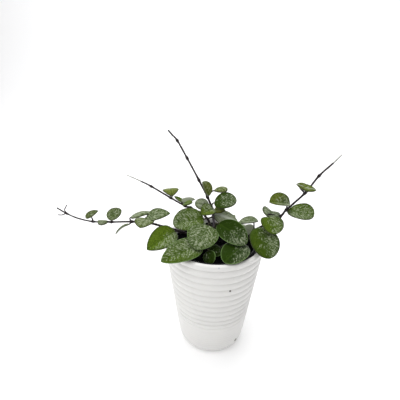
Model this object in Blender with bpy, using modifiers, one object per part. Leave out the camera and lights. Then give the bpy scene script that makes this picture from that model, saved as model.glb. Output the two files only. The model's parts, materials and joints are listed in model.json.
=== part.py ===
"""Potted trailing hoya: a plant of nine leafy shoots in a black nursery pot, inside a white ribbed cover pot.

The values below are millimetres and the model is in metres. Z is the pots' axis, the cover pot's base
lies at Z 0, and the front of the plant looks along -Y.
"""

import math
from collections import namedtuple

import bmesh
import bpy
from mathutils import Vector

MM = 0.001
FIT = 0.3                    # gap between pieces that touch

# Cover pot
POT_HEIGHT = 121.0
RIM_RADIUS = 50.0
FOOT_RADIUS = 33.7           # where the tapered wall would meet the ground
WALL = 4.6
FLOOR = 6.0
RIM_ROUND = 2.2
FOOT_ROUND = 12.4            # radius of the rounded edge under the wall
FOOT_IN = 11.4               # how far that edge's centre lies inside the foot radius
FOOT_ARC = (-10, -80)        # the degrees below level between which that edge turns
FIRST_GROOVE = 6.5           # below the rim
RIB_PITCH = 7.9              # from the first groove to the second
RIB_SHRINK = 0.2             # each rib is this much narrower than the one above
EVEN_RIBS = 10               # down to this groove
LOW_SHRINK = 0.7             # and this much narrower after it
PLAIN_UNDER = 32.0
RIB_FADE = 14.0
RIB_DEPTH = 1.1
RIM_STEP = 2.0               # height from the first groove to the plain rim
TURN_STEPS = 36              # facets round a turned piece

# Nursery pot
LIP_TOP = 118.0
LIP_RADIUS = 41.0
LIP_BAND = 8.0               # height of the wider band under the lip
LIP_STEP = 1.4               # how far the band stands out from the wall below it
BAND_SLOPE = 1.0             # height over which it does so
NURSERY_HEIGHT = 80.0
NURSERY_WALL = 1.0
DRAIN_HOLES = 6
DRAIN_RADIUS = 3.5
DRAIN_RING = 22.0            # radius of the ring that the drain holes lie on
HOLE_SIDES = 10              # facets round a drain hole or a stem's hole

# Soil
SOIL_TOP = 114.0
SOIL_DOME = 1.5              # rise of the middle above the edge
DOME_RINGS = (0.35, 0.7)     # shares of the radius at which the dome bends

# Leaves
BLADE = 1.4                  # thickness of a leaf
END_POWER = 0.5              # roundness of a leaf's ends
TIP_WIDTH = 1.0
SMALL_LEAF = 18.0            # a shorter leaf gets fewer facets
ROWS = (4, 6)                # facets along a short leaf and along a longer one
COLUMNS = 4                  # facets across a leaf
STALK_RADIUS = 0.8
STALK_END = 0.64             # its radius inside the blade
STALK_IN_BLADE = 2.5
STALK_BEND = 0.3             # share of its length over which it runs in line with the blade
UNDER_BEND = 0.4             # share of its length over which a stalk from below rises to the blade
UNDER_BLADE = 1.5            # how far below the blade that stretch starts
LOBED = 4                    # a leaf with a larger heart has its stalk from below
NODE_SWELLING = 1.45         # how much a stem swells where leaves grow
ROUTE_STEPS = 3              # straight runs between two of a stem's route points
CREASE = 40                  # a sharper angle than this, in degrees, is shaded as an edge

GREEN = (0.10, 0.17, 0.05, 1.0)
GLAZE_WHITE = (0.80, 0.80, 0.79, 1.0)
BLACK_PLASTIC = (0.012, 0.012, 0.013, 1.0)
PEAT = (0.020, 0.014, 0.010, 1.0)

# A leaf grows from the shoot's route point numbered node. base and tip are the ends of its blade,
# face is roughly where its upper side looks, bow lifts its middle above the line from base to tip,
# and fold lifts its two edges above the midrib. point runs from -1, a blunt tip, to 1, a sharp one;
# crease from 0, a round hollow, to 1, a fold along the midrib. heart draws two lobes back beside the
# stalk, and tuck is the share of the length at which a stalk meets the blade from below.
Leaf = namedtuple("Leaf", "node base tip width face bow fold point crease heart tuck",
                  defaults=(0.3, 0.4, 0, 0))

# A shoot's route runs from its foot in the soil to its tip, first straight up. thick and thin are its
# radii at the soil and at the tip, knots are the route points at which it swells, and each twig is
# the route of a thin side tip.
Shoot = namedtuple("Shoot", "name route thick thin knots leaves twigs", defaults=((),))

SHOOTS = (
    Shoot(
        "vine_left",
        ((-18, 3, 102), (-18, 3, 118), (-33, 1, 125.5), (-50, 0, 131), (-66, 2, 133.5), (-84, 4, 133),
         (-106, 7, 130), (-126, 9, 128.5), (-142, 10, 131), (-154, 11, 135.5), (-164, 12, 141)),
        1.5, 0.7, (2, 4, 5, 6, 7, 9),
        (
            Leaf(2, (-38, -8, 130.5), (-62, -28, 121), 23, (0.1, -0.6, 0.8), 2, 3.5, 0.7, 0.8),
            Leaf(4, (-68, 1, 140), (-44, 0, 146), 18.5, (0, -0.3, 1), 1, 1, 1),
            Leaf(4, (-67, -1, 139.5), (-69.5, -19, 138.5), 19.5, (0, -0.25, 1), 1, 1, 0.8),
            Leaf(5, (-84, 2, 138.5), (-63, 8, 142), 15, (0, 0.1, 1), 2.5, -1, 0.6),
            Leaf(5, (-86, 2, 131), (-99, -4, 122), 11, (-0.6, 0.1, 0.78), 2, 0.5, 0.5),
            Leaf(6, (-110, 7, 135), (-94.5, 7, 144), 12, (-0.3, -1, 0.4), 0.5, 0.5, 0.2, 0.4, 0, 0.3),
            Leaf(6, (-108, 5, 131.5), (-119, 3, 132), 7, (0, -0.5, 1), 0, -2, -0.9, 1),
            Leaf(7, (-133, 8, 133.5), (-119, 8, 141.5), 7.5, (-0.5, -0.7, 0.6), 0.5, 0.5, 0.6, 0.4, 0, 0.35),
        ),
        (
            ((-154, 11, 135.5), (-155.5, 11, 139.5), (-152.5, 11, 145)),
            ((-154, 11, 135.5), (-158.5, 10, 134), (-162.5, 9, 134.5)),
        ),
    ),
    Shoot(
        "vine_diagonal",
        ((-4, 7, 102), (-4, 7, 120), (-5, 7, 133), (-12, 11, 141), (-26, 20, 144), (-32, 23, 144.5),
         (-48, 30, 150), (-70, 38, 159), (-81, 41, 163), (-98, 46, 168)),
        1.3, 0.85, (4, 5, 6, 7),
        (
            Leaf(6, (-46, 28, 152.5), (-50.5, 42, 155.5), 17.5, (0, -0.1, 1), 2.5, 0, -1),
            Leaf(5, (-33, 21, 147.5), (-24, 16, 151), 11, (0.1, -0.3, 0.95), 0.5, 0.5),
            Leaf(5, (-31, 23, 148.5), (-44, 30, 152), 6, (0.2, -0.3, 0.9), -1, 0.5, 0.6),
            Leaf(5, (-36, 26, 149.7), (-21.5, 26, 151), 10, (0, 0.12, -1), -1, 1, 1),
        ),
    ),
    Shoot(
        "vine_top",
        ((0, 3, 102), (0, 3, 122), (-1, 4, 134), (-2, 5, 142), (-3.5, 7, 150), (-8.5, 11, 160.5),
         (-17.8, 20, 174.5), (-30.5, 29, 194), (-41, 35, 210), (-46.5, 38, 215), (-51, 41, 219)),
        1.35, 0.85, (3, 4, 5, 6, 7, 8),
        (
            Leaf(3, (-11, -3, 143), (-40, -10, 140), 24.5, (0, -0.6, 0.8), 1, 4, 0.1, 1),
            Leaf(3, (-1, 6, 145), (22.5, 2, 137), 17, (0.2, -0.5, 0.8), 2, -1.5, 0.4, 0.4, 0, 0),
            Leaf(4, (-2, 5, 150), (-13.5, -4, 148), 15, (-0.1, -0.6, 0.8), 1, 4, 0.3, 1),
            Leaf(4, (-1.5, 4, 149.5), (9.5, 1.5, 151), 9.5, (0, -0.4, 0.9), 0.5, 0.5, 0.8),
            Leaf(4, (-7, 7, 153.5), (-20.5, 5, 156), 11.5, (0, -0.9, 0.5), 0.5, 0.5, 0.1),
            Leaf(4, (-1.5, 4, 157.5), (19.5, 0, 162.5), 19, (0, -0.55, 0.85), 1, 1.5, 0.1),
            Leaf(5, (-8, 11, 161), (-14, 13, 175.5), 13.5, (0.8, -0.5, 0.5), 0, 4, -0.2, 1),
            Leaf(5, (-2.5, 14, 166), (11, 13, 168.5), 11, (0, -0.2, 1), 2, -1.5, -0.6),
        ),
    ),
    Shoot(
        "vine_right",
        ((31, 3, 102), (31, 3, 117), (35, 3, 124), (39, 3, 130), (47, 4, 135), (63, 6, 145),
         (69, 8, 152), (85.5, 13, 168), (98, 19, 184), (111.5, 26, 195), (119.5, 29, 203)),
        1.5, 0.9, (3, 5, 6, 7, 8),
        (
            Leaf(3, (40.5, -7, 138.5), (50.5, -32.5, 121), 28, (0.1, -0.4, 0.9), 2, 2, 0, 0.4, 0, 0.2),
            Leaf(3, (42, 3, 140.5), (23, 0, 138.5), 13, (0.05, -0.05, 1), 0.5, 2.5, 0.4, 1, 0, 0.22),
            Leaf(3, (38.5, 9, 124.5), (29.5, 13, 128), 14, (-0.3, 0.6, -0.7), -0.5, -0.5),
            Leaf(5, (50.5, -1, 147.5), (55.5, -18, 138), 22, (0.1, -0.4, 0.9), 1, 2.5, 0, 0.4, 3),
            Leaf(5, (55.5, 13, 147.5), (51, -2, 147), 18.5, (0.25, -0.2, 0.9), 0, 1.5, 0.2, 0.8, 10),
            Leaf(6, (71.5, 8, 157.5), (51, 5, 160), 16.5, (0, -0.45, 0.9), 0.5, 6, -0.4, 1, 5),
            Leaf(6, (69, 5, 151.5), (91.5, -6, 153), 21, (0, -0.45, 0.9), 1, 3, -0.6),
            Leaf(7, (87, 8, 174.5), (74.5, 7, 178.5), 10.5, (0, -0.4, 0.95), 0, 0.5, 0.9, 0.4, 0, 0),
            Leaf(7, (80, 7, 176), (93.5, 6, 174), 10.5, (0.1, -0.4, 0.95), 0, 0.5, 0.9, 0.4, 0, 0),
        ),
    ),
    Shoot(
        "stem_front",
        ((1, -5, 102), (1, -5, 120), (0, -6, 131), (-1, -7, 137)),
        1.4, 0.9, (2,),
        (
            Leaf(2, (-6.5, -14, 142), (-16, -37, 129.5), 29, (0, -0.5, 0.85), 2, 1, 0.4),
            Leaf(2, (3, -9, 141.5), (29.5, -25, 131), 23.5, (0, -0.55, 0.83), 2, 2, 0.2),
        ),
    ),
    Shoot(
        "stem_low_left",
        ((-9, -15, 102), (-9, -15, 117), (-9, -19, 123), (-8, -23, 126)),
        1.2, 0.9, (2,),
        (
            Leaf(2, (-12, -26, 127.5), (-45, -50, 123.5), 23, (0, -0.5, 0.85), 2, 2.5, 0.6, 0.8),
            Leaf(3, (-5, -30, 124.5), (-1.5, -38, 116), 14, (-0.5, -0.6, 0.4), 0.5, 0.5),
        ),
    ),
    Shoot(
        "stem_low_right",
        ((18, -8, 102), (18, -8, 117), (20, -11, 122), (21, -13, 125)),
        1.2, 0.9, (2,),
        (
            Leaf(3, (28.5, -19, 127), (9.5, -45.5, 123), 23.5, (0, -0.4, 0.9), 2, 0.5, 0.1),
            Leaf(2, (6, -20, 122.5), (-3, -30, 119.5), 12.5, (0.1, -0.5, 0.85), 1, 0.5),
        ),
    ),
    Shoot(
        "stem_back_left",
        ((-13, 18, 102), (-13, 18, 117), (-15, 22, 124), (-16, 24, 128)),
        1.2, 0.9, (2,),
        (
            Leaf(2, (-20, 29, 129), (-31, 57, 119), 24, (-0.1, 0.4, 0.9), 3, 2),
            Leaf(3, (-13, 17, 131), (-24, 6, 130), 20, (0, 0, 1), 1, 1.5),
        ),
    ),
    Shoot(
        "stem_back_right",
        ((13, 19, 102), (13, 19, 117), (14, 22, 124), (14, 24, 128)),
        1.2, 0.9, (2,),
        (
            Leaf(2, (16, 29, 127), (13, 56, 118.5), 14, (0.1, 0.4, 0.9), 3.5, 1),
            Leaf(3, (19, 21, 126), (32, 28, 122), 16, (0.2, 0.2, 0.95), 1, 1),
        ),
    ),
)


def clear_scene():
    for obj in list(bpy.data.objects):
        bpy.data.objects.remove(obj, do_unlink=True)
    for group in list(bpy.data.collections):
        bpy.data.collections.remove(group)


def new_collection(name):
    group = bpy.data.collections.new(name)
    bpy.context.scene.collection.children.link(group)
    return group


def material(name, colour, roughness):
    finish = bpy.data.materials.new(name)
    finish.use_nodes = True
    shader = finish.node_tree.nodes["Principled BSDF"]
    shader.inputs["Base Color"].default_value = colour
    shader.inputs["Roughness"].default_value = roughness
    shader.inputs["Metallic"].default_value = 0.0
    return finish


def add_object(name, data, group, finish=None):
    obj = bpy.data.objects.new(name, data)
    group.objects.link(obj)
    if finish is not None:
        data.materials.append(finish)
    return obj


def evaluated_mesh(obj):
    graph = bpy.context.evaluated_depsgraph_get()
    return bpy.data.meshes.new_from_object(obj.evaluated_get(graph))


def tidy_mesh(mesh):
    """Welds the mesh and points its faces outwards."""
    shape = bmesh.new()
    shape.from_mesh(mesh)
    bmesh.ops.remove_doubles(shape, verts=shape.verts, dist=0.002 * MM)
    bmesh.ops.recalc_face_normals(shape, faces=shape.faces)
    shape.to_mesh(mesh)
    shape.free()


def apply_modifiers(obj):
    finish = list(obj.data.materials)
    mesh = evaluated_mesh(obj)
    obj.modifiers.clear()
    obj.data = mesh
    mesh.materials.clear()
    for slot in finish:
        mesh.materials.append(slot)


def boolean(obj, group, operation):
    """Joins to obj, or cuts from it, everything in the collection."""
    step = obj.modifiers.new(operation.lower(), "BOOLEAN")
    step.operand_type = "COLLECTION"
    step.collection = group
    step.operation = operation
    step.solver = "EXACT"
    apply_modifiers(obj)


def smooth(obj):
    obj.data.shade_smooth()
    obj.data.set_sharp_from_angle(angle=math.radians(CREASE))


# Turned pieces

def turned(name, profile, group, finish):
    """A solid turned from (radius, height) points that end on the axis and run down its outer side."""
    mesh = bpy.data.meshes.new(name)
    points = [(radius * MM, 0.0, height * MM) for radius, height in profile]
    edges = [(i, i + 1) for i in range(len(points) - 1)]
    mesh.from_pydata(points, edges, [])
    obj = add_object(name, mesh, group, finish)
    screw = obj.modifiers.new("turn", "SCREW")
    screw.axis = "Z"
    screw.steps = TURN_STEPS
    screw.render_steps = TURN_STEPS
    screw.use_merge_vertices = True
    screw.merge_threshold = 0.01 * MM
    screw.use_smooth_shade = True
    return obj


def outer_radius(height):
    return FOOT_RADIUS + (RIM_RADIUS - FOOT_RADIUS) * height / POT_HEIGHT


def inner_radius(height):
    return outer_radius(height) - WALL


def arc(centre, radius, start, end, steps):
    """Points along an arc in the profile's plane; its angles are degrees above level."""
    points = []
    for i in range(steps + 1):
        angle = math.radians(start + (end - start) * i / steps)
        points.append((centre[0] + radius * math.cos(angle), centre[1] + radius * math.sin(angle)))
    return points


def groove_heights():
    heights = [POT_HEIGHT - FIRST_GROOVE]
    pitch = RIB_PITCH
    while heights[-1] - pitch > PLAIN_UNDER:
        heights.append(heights[-1] - pitch)
        pitch -= RIB_SHRINK if len(heights) < EVEN_RIBS else LOW_SHRINK
    return heights


def groove_radius(height):
    """The grooves grow shallower towards the plain foot."""
    share = min(1.0, max(0.0, (height - PLAIN_UNDER) / RIB_FADE))
    return outer_radius(height) - RIB_DEPTH * share


def ribbed_wall():
    """The outer wall from under the rim to the rounded foot: a groove, then the rib below it."""
    grooves = groove_heights()
    rim_foot = grooves[0] + RIM_STEP
    points = [(outer_radius(rim_foot), rim_foot)]
    for upper, lower in zip(grooves, grooves[1:]):
        middle = (upper + lower) / 2
        points.append((groove_radius(upper), upper))
        points.append((outer_radius(middle), middle))
    points.append((groove_radius(grooves[-1]), grooves[-1]))
    points.append((outer_radius(FOOT_ROUND), FOOT_ROUND))
    return points


def cover_pot(group):
    rim_centre = POT_HEIGHT - RIM_ROUND
    rim_out = (RIM_RADIUS - RIM_ROUND, rim_centre)
    rim_in = (inner_radius(rim_centre) + RIM_ROUND, rim_centre)
    foot_centre = (FOOT_RADIUS - FOOT_IN, FOOT_ROUND)
    profile = [(0, FLOOR), (inner_radius(FLOOR) - FLOOR, FLOOR), (inner_radius(2 * FLOOR), 2 * FLOOR)]
    profile += arc(rim_in, RIM_ROUND, 180, 90, 3)
    profile += arc(rim_out, RIM_ROUND, 90, 0, 3)
    profile += ribbed_wall()
    profile += arc(foot_centre, FOOT_ROUND, *FOOT_ARC, 4)
    profile += [(FOOT_RADIUS - FOOT_ROUND, 0), (0, 0)]
    pot = turned("cover_pot", profile, group, material("white_glazed_ceramic", GLAZE_WHITE, 0.25))
    apply_modifiers(pot)
    tidy_mesh(pot.data)
    smooth(pot)


def nursery_pot(group):
    bottom = LIP_TOP - NURSERY_HEIGHT
    top_radius = LIP_RADIUS - LIP_STEP
    foot_radius = inner_radius(bottom) - FIT
    band_foot = LIP_TOP - LIP_BAND
    profile = [
        (0, bottom + NURSERY_WALL),
        (foot_radius - NURSERY_WALL, bottom + NURSERY_WALL),
        (top_radius - NURSERY_WALL, band_foot),
        (LIP_RADIUS - NURSERY_WALL, band_foot + BAND_SLOPE),
        (LIP_RADIUS - NURSERY_WALL, LIP_TOP),
        (LIP_RADIUS, LIP_TOP),
        (LIP_RADIUS, band_foot),
        (top_radius, band_foot - BAND_SLOPE),
        (foot_radius, bottom),
        (0, bottom),
    ]
    pot = turned("nursery_pot", profile, group, material("black_moulded_plastic", BLACK_PLASTIC, 0.45))
    apply_modifiers(pot)
    tidy_mesh(pot.data)
    drains = new_collection("drain_cutters")
    for i in range(DRAIN_HOLES):
        angle = 2 * math.pi * i / DRAIN_HOLES
        place = (DRAIN_RING * math.cos(angle), DRAIN_RING * math.sin(angle), bottom)
        cutter(f"drain_{i}", place, DRAIN_RADIUS, 4 * NURSERY_WALL, drains)
    boolean(pot, drains, "DIFFERENCE")
    remove_collection(drains)
    tidy_mesh(pot.data)


def cutter(name, place, radius, height, group):
    """An upright cylinder centred at place, which the pieces are cut with."""
    mesh = bpy.data.meshes.new(name)
    shape = bmesh.new()
    bmesh.ops.create_cone(
        shape, cap_ends=True, segments=HOLE_SIDES, radius1=radius * MM, radius2=radius * MM,
        depth=height * MM)
    shape.to_mesh(mesh)
    shape.free()
    obj = add_object(name, mesh, group)
    obj.location = Vector(place) * MM
    obj.hide_render = True
    obj.display_type = "WIRE"
    return obj


def remove_collection(group):
    for obj in list(group.objects):
        bpy.data.objects.remove(obj, do_unlink=True)
    bpy.data.collections.remove(group)


def soil(group):
    """The soil fills the nursery pot, and every shoot stands in a plain hole in it."""
    bottom = LIP_TOP - NURSERY_HEIGHT + NURSERY_WALL + FIT
    band_foot = LIP_TOP - LIP_BAND
    foot_radius = inner_radius(LIP_TOP - NURSERY_HEIGHT) - FIT - NURSERY_WALL - FIT
    neck_radius = LIP_RADIUS - LIP_STEP - NURSERY_WALL - FIT
    top_radius = LIP_RADIUS - NURSERY_WALL - FIT
    profile = [(0, SOIL_TOP + SOIL_DOME)]
    for part in DOME_RINGS:
        profile.append((top_radius * part, SOIL_TOP + SOIL_DOME * (1 - part ** 2)))
    profile += [
        (top_radius, SOIL_TOP),
        (top_radius, band_foot + BAND_SLOPE + FIT),
        (neck_radius, band_foot),
        (foot_radius, bottom),
        (0, bottom),
    ]
    filling = turned("soil", profile, group, material("dark_potting_peat", PEAT, 0.95))
    apply_modifiers(filling)
    tidy_mesh(filling.data)
    holes = new_collection("stem_hole_cutters")
    for shoot in SHOOTS:
        x, y, foot = shoot.route[0]
        radius = (shoot.thick + FIT) / math.cos(math.pi / HOLE_SIDES)
        top = SOIL_TOP + 3 * SOIL_DOME
        low = foot - FIT
        cutter(f"{shoot.name}_hole", (x, y, (top + low) / 2), radius, top - low, holes)
    boolean(filling, holes, "DIFFERENCE")
    remove_collection(holes)
    tidy_mesh(filling.data)


# Shoots

def smooth_route(points, steps):
    """Points on a Catmull-Rom curve through the route, whose first run stays straight."""
    route = [Vector(point) for point in points]
    result = [route[0], route[1]]
    marks = [0, 1]
    for i in range(1, len(route) - 1):
        before = route[i - 1] if i > 1 else route[i] - Vector((0, 0, (route[i + 1] - route[i]).length))
        start = route[i]
        end = route[i + 1]
        after = route[i + 2] if i + 2 < len(route) else end * 2 - start
        for step in range(1, steps + 1):
            t = step / steps
            result.append(0.5 * (
                2 * start
                + (end - before) * t
                + (2 * before - 5 * start + 4 * end - after) * t ** 2
                + (3 * start - before - 3 * end + after) * t ** 3
            ))
        marks.append(len(result) - 1)
    return result, marks


def tube(name, points, radii, group):
    """A closed six-sided tube, made as a curve and turned into a mesh."""
    curve = bpy.data.curves.new(name, "CURVE")
    curve.dimensions = "3D"
    curve.bevel_depth = MM
    curve.bevel_resolution = 1
    curve.use_fill_caps = True
    spline = curve.splines.new("POLY")
    spline.points.add(len(points) - 1)
    for knot, place, radius in zip(spline.points, points, radii):
        knot.co = (*(Vector(place) * MM), 1.0)
        knot.radius = radius
    path = add_object(name + "_path", curve, group)
    bpy.context.view_layer.update()
    mesh = evaluated_mesh(path)
    tidy_mesh(mesh)
    obj = add_object(name, mesh, group)
    obj.matrix_world = path.matrix_world
    bpy.data.objects.remove(path, do_unlink=True)
    return obj


def outline(t, point):
    """Half-width of a leaf at t of its length, as a share of its greatest half-width."""
    base_power = END_POWER - 0.25 * min(point, 0.0) - 0.08 * max(point, 0.0)
    tip_power = END_POWER + 0.3 * max(point, 0.0) + 0.1 * min(point, 0.0)
    widest = base_power / (base_power + tip_power)
    return (t / widest) ** base_power * ((1 - t) / (1 - widest)) ** tip_power


def blade_frame(leaf):
    base = Vector(leaf.base)
    along = Vector(leaf.tip) - base
    side = along.cross(Vector(leaf.face)).normalized()
    normal = side.cross(along).normalized()
    return base, along, side, normal


def blade_point(leaf, t, across):
    """A point of the blade's middle surface: t runs from stalk to tip, across from -1 to 1."""
    base, along, side, normal = blade_frame(leaf)
    broad = outline(t, leaf.point)
    half = max(leaf.width / 2 * broad, TIP_WIDTH / 2)
    fold = leaf.crease * abs(across) * broad + (1 - leaf.crease) * (across * broad) ** 2
    lift = leaf.bow * 4 * t * (1 - t) + leaf.fold * fold
    back = leaf.heart * (across * broad * (1 - t)) ** 2
    return base + along * (t - back / along.length) + side * (half * across) + normal * lift


def blade(name, leaf, group):
    """A leaf's blade: a grid shaped by the outline and split in triangles, copied as upper face."""
    _, along, _, normal = blade_frame(leaf)
    rows = ROWS[along.length > SMALL_LEAF]
    shape = bmesh.new()
    bmesh.ops.create_grid(shape, x_segments=rows, y_segments=COLUMNS, size=1.0)
    for vert in shape.verts:
        t = (1 - math.cos(math.pi * (vert.co.x + 1) / 2)) / 2
        across = vert.co.y
        vert.co = (blade_point(leaf, t, across) - normal * BLADE / 2) * MM
    bmesh.ops.triangulate(shape, faces=shape.faces)
    copy = bmesh.ops.extrude_face_region(shape, geom=shape.faces[:], use_keep_orig=True)
    for part in copy["geom"]:
        if isinstance(part, bmesh.types.BMVert):
            part.co += normal * BLADE * MM
    mesh = bpy.data.meshes.new(name)
    shape.to_mesh(mesh)
    shape.free()
    obj = add_object(name, mesh, group)
    tidy_mesh(obj.data)


def stalk(name, leaf, root, group):
    """A leaf's stalk, from inside the stem to inside the blade."""
    base, along, _, normal = blade_frame(leaf)
    start = Vector(root)
    bend = base - along.normalized() * STALK_BEND * (base - start).length
    end = blade_point(leaf, leaf.tuck or STALK_IN_BLADE / along.length, 0)
    if leaf.tuck or leaf.heart > LOBED:
        bend = end.lerp(start, UNDER_BEND) - normal * UNDER_BLADE
    tube(name, (start, bend, end), (STALK_RADIUS, STALK_RADIUS, STALK_END), group)


def leafy_shoot(shoot, group, finish):
    """A stem with swollen nodes, and its leaves joined to it in one solid."""
    points, marks = smooth_route(shoot.route, ROUTE_STEPS)
    last = len(points) - 1
    radii = [shoot.thin + (shoot.thick - shoot.thin) * (1 - i / last) ** 2 for i in range(last + 1)]
    for knot in shoot.knots:
        radii[marks[knot]] *= NODE_SWELLING
    stem = tube(shoot.name, points, radii, group)
    stem.data.materials.append(finish)
    repeats = new_collection(shoot.name + "_leaves")
    for i, leaf in enumerate(shoot.leaves):
        blade(f"{shoot.name}_blade_{i}", leaf, repeats)
        stalk(f"{shoot.name}_stalk_{i}", leaf, shoot.route[leaf.node], repeats)
    for i, twig in enumerate(shoot.twigs):
        tube(f"{shoot.name}_twig_{i}", twig, [shoot.thin] * len(twig), repeats)
    boolean(stem, repeats, "UNION")
    remove_collection(repeats)
    tidy_mesh(stem.data)
    smooth(stem)


def main():
    clear_scene()
    group = new_collection("potted_hoya")
    cover_pot(group)
    nursery_pot(group)
    soil(group)
    finish = material("green_hoya_leaf", GREEN, 0.40)
    for shoot in SHOOTS:
        leafy_shoot(shoot, group, finish)


main()
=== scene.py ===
# %% [markdown]
# A potted hoya is dressed here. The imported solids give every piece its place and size, in metres,
# with Z up and the pots' axis at X 0, Y 0. They are plain, so that they stay light. They could be
# coloured as they are, but ribs, leaf blades and crumbs of soil need finer meshes, so the pots, the
# soil and the nine leafy shoots are modelled again in the same places.

import json
import math
import random
from dataclasses import dataclass

import bpy
from mathutils import Matrix, Vector, noise

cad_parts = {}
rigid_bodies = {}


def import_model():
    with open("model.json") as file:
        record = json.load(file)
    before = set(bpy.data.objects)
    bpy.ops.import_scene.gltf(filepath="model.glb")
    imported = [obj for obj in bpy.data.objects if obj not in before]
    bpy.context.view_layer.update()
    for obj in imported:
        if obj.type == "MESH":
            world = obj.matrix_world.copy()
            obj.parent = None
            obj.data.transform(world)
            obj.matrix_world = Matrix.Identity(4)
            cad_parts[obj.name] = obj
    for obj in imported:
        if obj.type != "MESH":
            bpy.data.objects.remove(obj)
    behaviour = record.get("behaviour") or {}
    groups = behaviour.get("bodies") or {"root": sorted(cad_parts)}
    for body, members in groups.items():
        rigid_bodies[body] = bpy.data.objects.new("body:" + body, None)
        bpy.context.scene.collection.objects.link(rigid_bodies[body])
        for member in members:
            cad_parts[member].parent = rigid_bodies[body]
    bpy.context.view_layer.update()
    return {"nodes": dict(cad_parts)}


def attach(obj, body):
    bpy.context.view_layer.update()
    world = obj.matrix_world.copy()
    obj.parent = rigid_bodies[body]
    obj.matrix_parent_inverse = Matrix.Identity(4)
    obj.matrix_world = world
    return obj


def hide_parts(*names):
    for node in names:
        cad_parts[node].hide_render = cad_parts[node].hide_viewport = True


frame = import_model()
MM = 0.001
print("solids:", len(frame["nodes"]))

# %% [markdown]
# Colours are written as sRGB hex values, as a paint program shows them, but shaders work in linear
# light, so one function converts them. A finish could be drawn by hand in the shader editor. Here
# one function adds a node with its settings and feeds its inputs, each from another node's socket
# or with a plain value, so that a finish reads as a list.

# %% Colours and shader nodes
def linear(code):
    """An sRGB hex colour as linear RGBA."""
    parts = [int(code[i:i + 2], 16) / 255 for i in (1, 3, 5)]
    return (*[part / 12.92 if part <= 0.04045 else ((part + 0.055) / 1.055) ** 2.4 for part in parts], 1.0)


def feed(material, node, inputs):
    """Links a socket, or sets a plain value, to each input that is named or numbered."""
    for name, value in inputs.items():
        if isinstance(value, bpy.types.NodeSocket):
            material.node_tree.links.new(value, node.inputs[name])
        else:
            node.inputs[name].default_value = value


def add_node(material, kind, inputs=None, output=0, **settings):
    """Adds a shader node with its settings and links, and gives one of its output sockets."""
    node = material.node_tree.nodes.new("ShaderNode" + kind)
    for name, value in settings.items():
        setattr(node, name, value)
    feed(material, node, inputs or {})
    return node.outputs[output]


def new_material(name):
    """A material with nodes, and its Principled shader."""
    material = bpy.data.materials.new(name)
    material.use_nodes = True
    return material, material.node_tree.nodes["Principled BSDF"]


# A Mix node has sockets for each kind of data. These are the numbers of its sockets for colours.
MASK = 0
UNDER = 6
OVER = 7
MIXED = 2
print("leaf green, linear:", [round(part, 3) for part in linear("#5d7a2e")[:3]])

# %% [markdown]
# The photograph looks down on the pot by 23 degrees from about 0.4 m, through a short lens, so the
# rim shows as a broad ellipse. A Track To constraint could aim the camera, but this one also looks
# a little to the left of the pot and leans by one degree, so three plain turns aim it.

# %% Camera
EYE = (0.0, -0.282, 0.281)
LOOK_DOWN = 22.92
LOOK_LEFT = 3.09
LEAN = 1.21
LENS = 28.98
SENSOR = 36.0

bpy.ops.object.select_all(action="DESELECT")
bpy.ops.object.camera_add()
camera = bpy.context.object
camera.name = "camera"
turn_left = Matrix.Rotation(math.radians(LOOK_LEFT), 4, "Z")
tip_down = Matrix.Rotation(math.radians(90 - LOOK_DOWN), 4, "X")
lean = Matrix.Rotation(math.radians(LEAN), 4, "Z")
camera.matrix_world = Matrix.Translation(EYE) @ turn_left @ tip_down @ lean
camera.data.lens = LENS
camera.data.sensor_width = SENSOR
camera.data.clip_start = 0.01
bpy.context.scene.camera = camera
print("camera at", [round(part, 3) for part in camera.location])

# %% [markdown]
# The light is a studio's: a large soft box overhead, a little to the front left, over a weak even
# surround, so that the pot's right side is a shade darker. A sun lamp would be simpler, but its
# shadows are hard. Glossy surfaces don't reflect the boxes, because the photograph's glaze shows no
# bright squares.

# %% Surround and soft boxes
WORLD_STRENGTH = 0.37

scene = bpy.context.scene
scene.view_settings.view_transform = "Standard"
scene.world = bpy.data.worlds.new("studio")
scene.world.use_nodes = True
surround = scene.world.node_tree.nodes["Background"]
surround.inputs["Color"].default_value = linear("#fdfdff")
surround.inputs["Strength"].default_value = WORLD_STRENGTH


def soft_box(name, place, size, power, target):
    """A square area light turned to face the target, and hidden from reflections."""
    bpy.ops.object.light_add(type="AREA", location=place)
    lamp = bpy.context.object
    lamp.name = name
    lamp.data.shape = "SQUARE"
    lamp.data.size = size
    lamp.data.energy = power
    lamp.rotation_euler = (Vector(target) - Vector(place)).to_track_quat("-Z", "Y").to_euler()
    lamp.visible_glossy = False
    return lamp


soft_boxes = (
    soft_box("key_light", (-0.34, -0.35, 1.12), 1.4, 12.2, (0, 0, 0.1)),
    soft_box("backdrop_light", (0, 0.7, 1.6), 1.2, 14.0, (0, 1.4, 0.15)),
)
print("soft boxes:", [lamp.name for lamp in soft_boxes])

# %% [markdown]
# The floor is a studio's white paper, which sweeps up behind the plant so that no horizon shows.
# Two planes would meet in a hard line, so the far edge of one plane is extruded upwards, and a
# bevel rounds the fold. The second soft box lights its back, and a faint glow keeps it white.

# %% Paper sweep
PAPER_SIZE = 3.2
PAPER_RISE = 1.6
SWEEP_ROUND = 0.6
PAPER_GLOW = 0.14
BELOW_FOOT = 0.0002

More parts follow.
